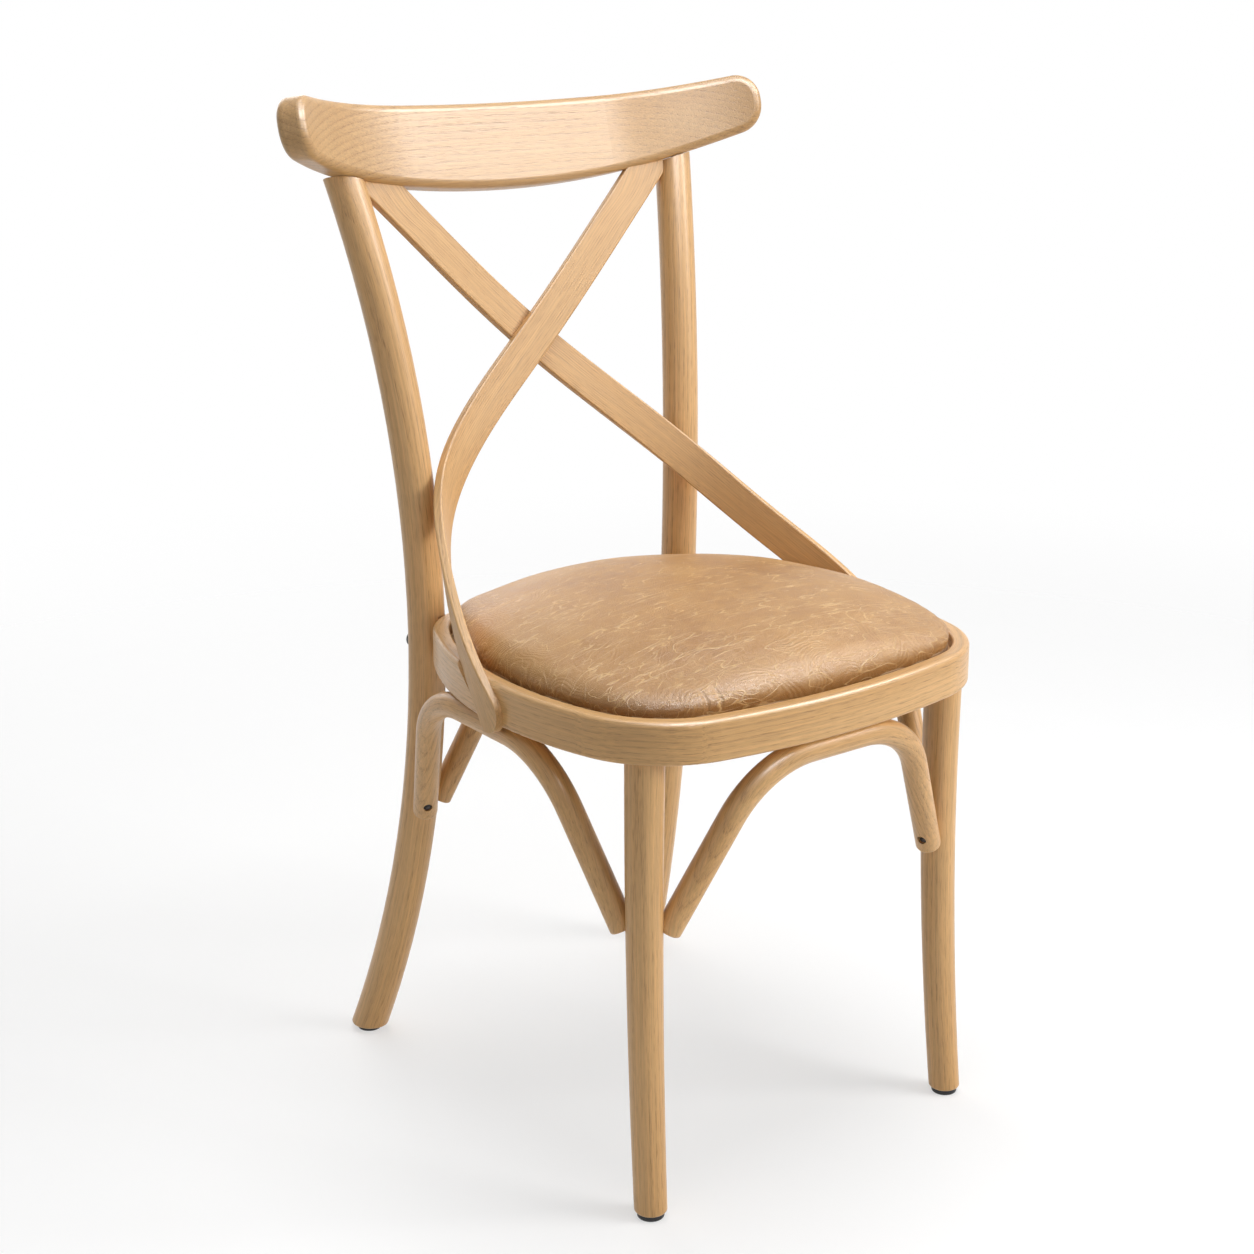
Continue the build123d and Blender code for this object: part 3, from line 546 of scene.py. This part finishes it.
# %% Hoops
X, Y, Z = Vector((1, 0, 0)), Vector((0, 1, 0)), Vector((0, 0, 1))
ring_heart = (0.06, 0.11, 0.0)
ring_turn = pi * 0.999
arch_heart = (0.045, 0.05, 0.3)
arch_turn = radians(84)
arch_spans = {"front_arch": X, "rear_arch": X, "side_arch_left": Y, "side_arch_right": Y}


def dress_hoop(name, hub, sideways, upward, widest, heart, steps=25):
    turns = [widest * (2 * step / (steps - 1) - 1) for step in range(steps)]
    rows = hoop_radii(name, hub, sideways, upward, turns)
    radii = [radius for _, radius in rows]

    def straight(tree):
        return follow_hoop(tree, hub, sideways, upward, rows)

    dress(name, oak_material(name + "_oak", straight, heart))
    print(name, "radius", round(min(radii), 3), "to", round(max(radii), 3))


low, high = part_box("seat_ring")
dress_hoop("seat_ring", (low + high) / 2, X, -Y, ring_turn, ring_heart, steps=41)
for name, sideways in arch_spans.items():
    low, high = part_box(name)
    hub = (low + high) / 2
    hub.z = low.z
    dress_hoop(name, hub, sideways, Z, arch_turn, arch_heart)

# %% [markdown]
# Plywood is a stack of thin sheets, seen as fine dark lines of glue round its edge. It hides inside
# the chair, but a part taken out of the library may be opened up. The height alone gives the
# sheets: a ping-pong runs from the middle of a glue line to the middle of a sheet and back.

# %% Plywood
half_sheet = 0.0013
glue_line = 0.0004
ply_glue = (0.30, 0.18, 0.09, 1)
ply_sheet = (0.62, 0.43, 0.25, 1)
ply_fleck = (0.42, 0.27, 0.14, 1)
ply_fleck_scale = (8, 260, 260)
ply_fleck_band = (0.35, 0.7)
ply_fleck_share = 0.35
ply_roughness = (0.6, 0.75)

material, tree, finish = new_material("seat_plywood")
here = object_place(tree)
sheets = sums(tree, "PINGPONG", axes(tree, here)["Z"], half_sheet)
colour = tint(tree, spread(tree, sheets, 0.0, glue_line), ply_glue, ply_sheet)
flecks = grains(tree, here, ply_fleck_scale)
flecks = spread(tree, flecks, *ply_fleck_band, 0.0, ply_fleck_share)
feed(tree, finish["Base Color"], tint(tree, flecks, colour, ply_fleck))
feed(tree, finish["Roughness"], spread(tree, flecks, 0.0, ply_fleck_share, *ply_roughness))
dress("seat_board", material)
print("plywood on seat_board")

# %% [markdown]
# The dowels are plain beech: pale, with short straight flecks along the stick. One stretched noise
# gives both the flecks and their duller gloss.

# %% Dowels
beech = (0.62, 0.42, 0.26, 1)
beech_fleck = (0.45, 0.27, 0.15, 1)
beech_fleck_scale = (700, 700, 60)
beech_fleck_band = (0.4, 0.65)
beech_roughness = (0.55, 0.7)

material, tree, finish = new_material("dowel_beech")
flecks = spread(tree, grains(tree, object_place(tree), beech_fleck_scale), *beech_fleck_band)
feed(tree, finish["Base Color"], tint(tree, flecks, beech, beech_fleck))
feed(tree, finish["Roughness"], spread(tree, flecks, 0.0, 1.0, *beech_roughness))
dress("crest_dowels", material)
print("beech on crest_dowels")

# %% [markdown]
# The glides are moulded black plastic with a fine spark texture from the mould, and paler scuffs
# where they slide. The spark is far too fine to model, so it is a bump that also varies the gloss.

# %% Glides
plastic_black = (0.012, 0.012, 0.013, 1)
plastic_scuff = (0.045, 0.044, 0.043, 1)
spark_scale = (1500, 1500, 1500)
spark_strength, spark_depth = 0.25, 0.0002
scuff_scale = (120, 120, 400)
scuff_band = (0.5, 0.75)
plastic_roughness = (0.42, 0.62)

material, tree, finish = new_material("glide_plastic")
here = object_place(tree)
spark = grains(tree, here, spark_scale)
scuffs = spread(tree, grains(tree, here, scuff_scale, detail=3.0), *scuff_band)
feed(tree, finish["Base Color"], tint(tree, scuffs, plastic_black, plastic_scuff))
feed(tree, finish["Roughness"], spread(tree, spark, *noise_band, *plastic_roughness))
feed(tree, finish["Normal"], bump(tree, spark, spark_strength, spark_depth))
glides = [name for name in nodes if name.startswith("foot_glide")]
for name in glides:
    dress(name, material)
print("glides:", ", ".join(sorted(glides)))

# %% [markdown]
# The screws, bolts, nails and staples are blackened steel: dark, with brighter, smoother patches
# where the black is rubbed off, and fine marks from turning.

# %% Fasteners
steel_black = (0.055, 0.053, 0.052, 1)
steel_rubbed = (0.20, 0.195, 0.19, 1)
rub_scale = (300, 300, 300)
rub_band = (0.45, 0.72)
steel_roughness = (0.5, 0.32)
mark_scale = (2200, 2200, 300)
mark_strength, mark_depth = 0.15, 0.0001
fastener_kinds = ("screws", "screw", "bolts", "washers", "nuts", "nails", "staples")

material, tree, finish = new_material("blackened_steel")
here = object_place(tree)
rubbed = spread(tree, grains(tree, here, rub_scale, detail=3.0), *rub_band)
feed(tree, finish["Base Color"], tint(tree, rubbed, steel_black, steel_rubbed))
feed(tree, finish["Roughness"], spread(tree, rubbed, 0.0, 1.0, *steel_roughness))
finish["Metallic"].default_value = 1.0
marks = grains(tree, here, mark_scale, detail=1.0)
feed(tree, finish["Normal"], bump(tree, marks, mark_strength, mark_depth))
fasteners = [name for name in nodes if name.endswith(fastener_kinds)]
for name in fasteners:
    dress(name, material)
print("fasteners:", ", ".join(sorted(fasteners)))

# %% [markdown]
# The seat pad is leather pulled over foam and stapled under a board. It could be modelled by hand
# as a crowned shell, but leather over foam takes its shape from pressure, which cloth simulation
# gives. The pad starts as the smallest full shape round the CAD cover and is turned into an even
# mesh that cloth can work on.

# %% Seat pad
voxel = 0.005
smooth_rounds = 3
smooth_factor = 0.5
merge_reach = 1e-5


def hull_of(name):
    """A bmesh of the smallest full shape round a CAD node's points."""
    shape = bmesh.new()
    for vertex in nodes[name].data.vertices:
        shape.verts.new(vertex.co)
    bmesh.ops.remove_doubles(shape, verts=shape.verts, dist=merge_reach)
    hull = bmesh.ops.convex_hull(shape, input=shape.verts)
    spare = hull["geom_interior"] + hull["geom_unused"]
    spare = {v for v in spare if isinstance(v, bmesh.types.BMVert)}
    bmesh.ops.delete(shape, geom=list(spare), context="VERTS")
    return shape


def settle(piece):
    """Applies a piece's modifiers to its mesh."""
    graph = bpy.context.evaluated_depsgraph_get()
    mesh = bpy.data.meshes.new_from_object(piece.evaluated_get(graph))
    piece.modifiers.clear()
    piece.data = mesh
    mesh.name = piece.name


pad_mesh = bpy.data.meshes.new("seat_pad")
shape = hull_of("seat_cover")
shape.to_mesh(pad_mesh)
shape.free()
pad = add_object("seat_pad", pad_mesh)
remesh = pad.modifiers.new("even", "REMESH")
remesh.mode = "VOXEL"
remesh.voxel_size = voxel
settle(pad)

every_axis = {"use_axis_x": True, "use_axis_y": True, "use_axis_z": True}
shape = bmesh.new()
shape.from_mesh(pad.data)
for _ in range(smooth_rounds):
    bmesh.ops.smooth_vert(shape, verts=shape.verts, factor=smooth_factor, **every_axis)
shape.to_mesh(pad.data)
shape.free()
print("pad mesh:", len(pad.data.polygons), "faces")

# %% [markdown]
# The cloth is blown up for a few frames only, with no gravity and with its lower edge held in the
# ring, so that the crown rounds and the sides fill out.

# %% Blow up the pad
cloth_frames = 20
cloth_pressure = 4.0
cloth_quality = 6
held_above_ring = 0.002
ring_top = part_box("seat_ring")[1].z

start = [v.co.copy() for v in pad.data.vertices]
held = pad.vertex_groups.new(name="held")
low_points = [v.index for v in pad.data.vertices if v.co.z < ring_top + held_above_ring]
held.add(low_points, 1.0, "REPLACE")
cloth = pad.modifiers.new("cloth", "CLOTH")
cloth.settings.vertex_group_mass = "held"
cloth.settings.use_pressure = True
cloth.settings.uniform_pressure_force = cloth_pressure
cloth.settings.effector_weights.gravity = 0.0
cloth.settings.quality = cloth_quality
for step in range(1, cloth_frames + 1):
    scene.frame_set(step)
settle(pad)
pad.vertex_groups.clear()
scene.frame_set(1)
print("pad blown up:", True)

# %% [markdown]
# Each point's travel is capped, a little near the ring and more on top, where the foam is thick, so
# the pad stays clear of the wood. The leather is taut, so the travel is then averaged with the
# neighbours' many times over, which leaves a smooth crown. Just above the ring the foam rolls
# outward over the wood.

# %% Ease the pad
edge_cap = 0.0012
swell_cap = 0.006
cap_start = 0.003
cap_height = 0.012
ease_rounds = 40
roll_over = 0.0045
roll_height = 0.024
least_travel = 1e-9


def part_way(value, begin, length):
    return min(max((value - begin) / length, 0.0), 1.0)


travel = []
for vertex, old in zip(pad.data.vertices, start):
    move = vertex.co - old
    share = part_way(old.z, ring_top + cap_start, cap_height)
    cap = edge_cap + (swell_cap - edge_cap) * share
    travel.append(move * min(1.0, cap / max(move.length, least_travel)))
near = [[] for _ in travel]
for edge in pad.data.edges:
    first, second = edge.vertices
    near[first].append(second)
    near[second].append(first)
for _ in range(ease_rounds):
    travel = [sum((travel[n] for n in around), Vector()) / len(around) for around in near]
for vertex, old, move in zip(pad.data.vertices, start, travel):
    outward = Vector((vertex.normal.x, vertex.normal.y, 0))
    rise = part_way(old.z, ring_top, roll_height)
    vertex.co = old + move + outward * roll_over * sin(pi * rise)
print("pad rose", round(max(move.z for move in travel) * 1000, 1), "mm")

# %% [markdown]
# One round of subdivision and soft shading finish the shape.

# %% Smooth the pad
for face in pad.data.polygons:
    face.use_smooth = True
finer = pad.modifiers.new("finer", "SUBSURF")
finer.levels = 1
finer.render_levels = 1
print("pad top:", round(max(v.co.z for v in pad.data.vertices), 4))

# %% [markdown]
# The leather is tan, with a fine pebble and cloudy dye. Its wrinkles could be sculpted, but they
# are finer than the mesh, so they are drawn as lines of equal height in a slow noise, as on a map:
# many heights give close, swirling ripples, and one single height gives a lone crease. Stretched
# noise makes creases that run across the hide both ways. The ripples gather on the shoulder.

# %% Leather wrinkles
swirl_scale = (12, 12, 12)
swirl_detail = 1.5
swirl_count = 100.0
swirl_patch = 19
swirl_band = (0.38, 0.6)
shoulder_band = (0.55, 0.9)
flat_share = 0.35
crease_band = (0.44, 0.58)
crease_detail = 1.6
crease_roughness = 0.45
# turn, stretched scale, scale of the patches that show it, width
crease_rows = (
    (0.5, (11, 58, 40), 25, 0.010),
    (-0.8, (12, 52, 40), 29, 0.010),
    (1.9, (20, 90, 60), 34, 0.014),
    (2.5, (18, 100, 60), 22, 0.014),
)
pebble_scale = 760.0
pebble_edge = 0.4

material, tree, finish = new_material("tan_leather")
here = object_place(tree)
low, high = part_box("seat_cover")
centre, reach = (low + high) / 2, (high - low) / 2


def slow_noise(scale, detail=3.0, turned=0.0, roughness=0.5):
    row = {"Vector": here, "Rotation": (0, 0, turned), "Scale": scale}
    mapped = place(tree, "ShaderNodeMapping", row).outputs["Vector"]
    return noise(tree, mapped, detail, roughness)


def lone_line(level, width):
    off = sums(tree, "ABSOLUTE", sums(tree, "SUBTRACT", level, 0.5))
    return spread(tree, off, 0.0, width, 1.0, 0.0, smooth=True)


def many_lines(level, count):
    return sums(tree, "PINGPONG", sums(tree, "MULTIPLY", level, count), 1.0)


def patches(scale, band):
    return spread(tree, slow_noise((scale, scale, scale)), *band)


off_centre = vector_sums(tree, "SUBTRACT", here, tuple(centre))
flat = vector_sums(tree, "MULTIPLY", off_centre, (1 / reach.x, 1 / reach.y, 0))
outward = vector_sums(tree, "LENGTH", flat)
shoulder = spread(tree, outward, *shoulder_band, flat_share, 1.0, smooth=True)
swirls_shown = sums(tree, "MULTIPLY", shoulder, patches(swirl_patch, swirl_band))
swirls = many_lines(slow_noise(swirl_scale, swirl_detail), swirl_count)
swirls = sums(tree, "MULTIPLY", swirls, swirls_shown)
creases = 0.0
for turned, scale, patch, width in crease_rows:
    line = lone_line(slow_noise(scale, crease_detail, turned, crease_roughness), width)
    line = sums(tree, "MULTIPLY", line, patches(patch, crease_band))
    creases = sums(tree, "MAXIMUM", line, creases)
row = {"Vector": here, "Scale": pebble_scale}
cells = place(tree, "ShaderNodeTexVoronoi", row, feature="DISTANCE_TO_EDGE").outputs["Distance"]
pebble = spread(tree, cells, 0.0, pebble_edge, smooth=True)
print("wrinkle nodes:", len(tree.nodes))

# %% [markdown]
# The dye is laid on in coats, from the slow clouds to the fine lines, and the creases are rubbed
# lighter than the dye. One more coat is painted shade: the foot of the shoulder, just above the
# ring, is darker, where the pad meets the wood.

# %% Leather colour
cloud_scale = (9, 9, 9)
cloud_band = (0.35, 0.68)
mottle_scale = (70, 70, 70)
mottle_band = (0.4, 0.7)
dye_roughness = 0.6
foot_shade_height = 0.02
mottle_share, foot_shade_share, swirl_share, gap_share, crease_share = 0.6, 0.7, 0.34, 0.3, 0.58
deep_tan = (0.375, 0.172, 0.038, 1)
light_tan = (0.540, 0.282, 0.078, 1)
mottle_tan = (0.580, 0.325, 0.115, 1)
foot_shade_brown = (0.270, 0.120, 0.034, 1)
swirl_tan = (0.660, 0.400, 0.165, 1)
gap_brown = (0.250, 0.115, 0.035, 1)
crease_cream = (0.760, 0.500, 0.225, 1)
leather_roughness = (0.34, 0.44)
leather_specular = 0.42

clouds = slow_noise(cloud_scale, roughness=dye_roughness)
mottle = slow_noise(mottle_scale, roughness=dye_roughness)
height = axes(tree, here)["Z"]
foot_shade_top = ring_top + foot_shade_height
coats = (
    (spread(tree, mottle, *mottle_band, 0.0, mottle_share), mottle_tan),
    # painted shade: the foot of the pad is darker just above the ring, where it meets the wood
    (spread(tree, height, ring_top, foot_shade_top, foot_shade_share, 0.0, smooth=True), foot_shade_brown),
    (sums(tree, "MULTIPLY", swirls, swirl_share), swirl_tan),
    (spread(tree, pebble, 0.0, 1.0, gap_share, 0.0), gap_brown),
    (sums(tree, "MULTIPLY", creases, crease_share), crease_cream),
)
colour = tint(tree, spread(tree, clouds, *cloud_band), deep_tan, light_tan)
for share, coat in coats:
    colour = tint(tree, share, colour, coat)
feed(tree, finish["Base Color"], colour)
feed(tree, finish["Roughness"], spread(tree, mottle, *noise_band, *leather_roughness))
finish["Specular IOR Level"].default_value = leather_specular
print("coats of dye:", 1 + len(coats))

# %% [markdown]
# The relief is a chain of bumps, each laid over the one before. The front edge is puckered in two
# places by the staples underneath: short upright dents, four times as tall as they are wide.

# %% Leather relief
pucker_spots = ((-0.128, -0.214, 0.447), (-0.116, -0.217, 0.447))
pucker_squeeze = (1.0, 0.25, 0.25)
pucker_reach = 0.0038

puckers = 0.0
for spot in pucker_spots:
    aside = vector_sums(tree, "SUBTRACT", here, spot)
    aside = vector_sums(tree, "LENGTH", vector_sums(tree, "MULTIPLY", aside, pucker_squeeze))
    dent = spread(tree, aside, 0.0, pucker_reach, 1.0, 0.0, smooth=True)
    puckers = sums(tree, "MAXIMUM", dent, puckers)
# pattern, strength, depth in metres
reliefs = (
    (pebble, 0.45, 0.0005),
    (swirls, 0.4, 0.0006),
    (creases, 0.4, 0.0008),
    (puckers, 0.6, -0.002),
)
normal = None
for relief, strength, depth in reliefs:
    normal = bump(tree, relief, strength, depth, normal)
feed(tree, finish["Normal"], normal)
pad.data.materials.clear()
pad.data.materials.append(material)
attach(pad, "root")
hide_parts("seat_cover", "seat_foam")
print("leather on", pad.name)

# %% [markdown]
# Under the seat a thin lining hides the board and the staples. It is one flat sheet, stretched
# tight, so it needs no cloth simulation: the CAD lining gives its outline, and it lies a little
# lower, below the staples' crowns.

# %% Lining
lining_drop = 0.002
lining_thickness = 0.0006
facing_up = 0.9

low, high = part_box("dust_cover")
lining_mesh = bpy.data.meshes.new("seat_lining")
shape = hull_of("dust_cover")
others = [f for f in shape.faces if f.normal.z < facing_up]
bmesh.ops.delete(shape, geom=others, context="FACES")
bmesh.ops.dissolve_faces(shape, faces=shape.faces[:])
flat_area = sum(f.calc_area() for f in shape.faces)
bmesh.ops.translate(shape, verts=shape.verts[:], vec=(0, 0, -lining_drop))
bmesh.ops.poke(shape, faces=shape.faces[:])
bmesh.ops.recalc_face_normals(shape, faces=shape.faces[:])
shape.to_mesh(lining_mesh)
shape.free()
lining = add_object("seat_lining", lining_mesh)
thick = lining.modifiers.new("thick", "SOLIDIFY")
thick.thickness = lining_thickness
thick.offset = -1.0
print("lining:", round(flat_area, 4), "square metres")

# %% [markdown]
# The cloth is a plain black weave. Two crossed sine waves give the threads, which is lighter than
# modelling them, and long thin noise gives the thicker threads that show as slubs.

# %% Lining cloth
thread = 0.0009
cloth_dark = (0.020, 0.019, 0.018, 1)
cloth_pale = (0.060, 0.057, 0.053, 1)
slub_pale = (0.09, 0.085, 0.08, 1)
slub_scale = (40, 500, 40)
slub_band = (0.5, 0.8)
slub_share = 0.6
cloth_roughness = (0.95, 0.8)
weave_strength, weave_depth = 0.3, 0.0003

material, tree, finish = new_material("lining_cloth")
here = object_place(tree)
sides = axes(tree, here)
warp = sums(tree, "SINE", sums(tree, "MULTIPLY", sides["X"], 2 * pi / thread))
weft = sums(tree, "SINE", sums(tree, "MULTIPLY", sides["Y"], 2 * pi / thread))
weave = spread(tree, sums(tree, "MULTIPLY", warp, weft), -1.0, 1.0)
slubs = spread(tree, grains(tree, here, slub_scale), *slub_band, 0.0, slub_share)
colour = tint(tree, weave, cloth_dark, cloth_pale)
feed(tree, finish["Base Color"], tint(tree, slubs, colour, slub_pale))
feed(tree, finish["Roughness"], spread(tree, weave, 0.0, 1.0, *cloth_roughness))
feed(tree, finish["Normal"], bump(tree, weave, weave_strength, weave_depth))
lining_mesh.materials.append(material)
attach(lining, "root")
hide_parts("dust_cover")
print("cloth on", lining.name)
